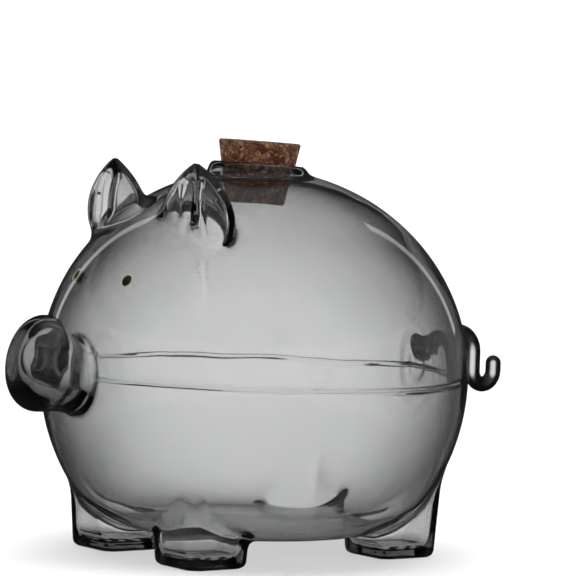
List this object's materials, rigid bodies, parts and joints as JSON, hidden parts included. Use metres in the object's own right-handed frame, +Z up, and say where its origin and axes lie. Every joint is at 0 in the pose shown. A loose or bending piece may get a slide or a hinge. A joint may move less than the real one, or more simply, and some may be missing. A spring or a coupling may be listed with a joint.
{
  "type": "piggy bank",
  "caption": "Round clear smoke-glass pig money bank on hollow block feet, with pointed ears, blunt snout and hooked tail; a tapered cork in the neck on its back lifts out to take coins.",
  "frame": {"origin": "on the ground under the middle of the whole length and width, so the feet stand on z = 0", "axes": "+Z up, the pig faces -Y with its tail towards +Y, and its left side is +X"},
  "size_m": [0.16, 0.2152, 0.1544],
  "materials": {
    "smoke_glass": "clear grey mould-blown glass, polished",
    "eye_enamel": "raised gloss black enamel",
    "eye_rim": "thin pale enamel edge",
    "cork": "agglomerated cork, matt, dark pits"
  },
  "bodies": {
    "bank": {"upper_shell": "smoke_glass", "lower_shell": "smoke_glass", "snout": "smoke_glass", "ear_left": "smoke_glass", "ear_right": "smoke_glass", "foot_front_left": "smoke_glass", "foot_front_right": "smoke_glass", "foot_rear_left": "smoke_glass", "foot_rear_right": "smoke_glass", "neck_ring": "smoke_glass", "tail": "smoke_glass", "eye_left": "eye_enamel", "eye_right": "eye_enamel", "eye_rim_left": "eye_rim", "eye_rim_right": "eye_rim"},
    "stopper": {"cork_stopper": "cork"}
  },
  "joints": [
    {"name": "stopper_lift", "type": "slide", "parent": "bank", "child": "stopper", "axis": [0, 0.0523, 0.9986], "range_m": [0, 0.06]}
  ]
}
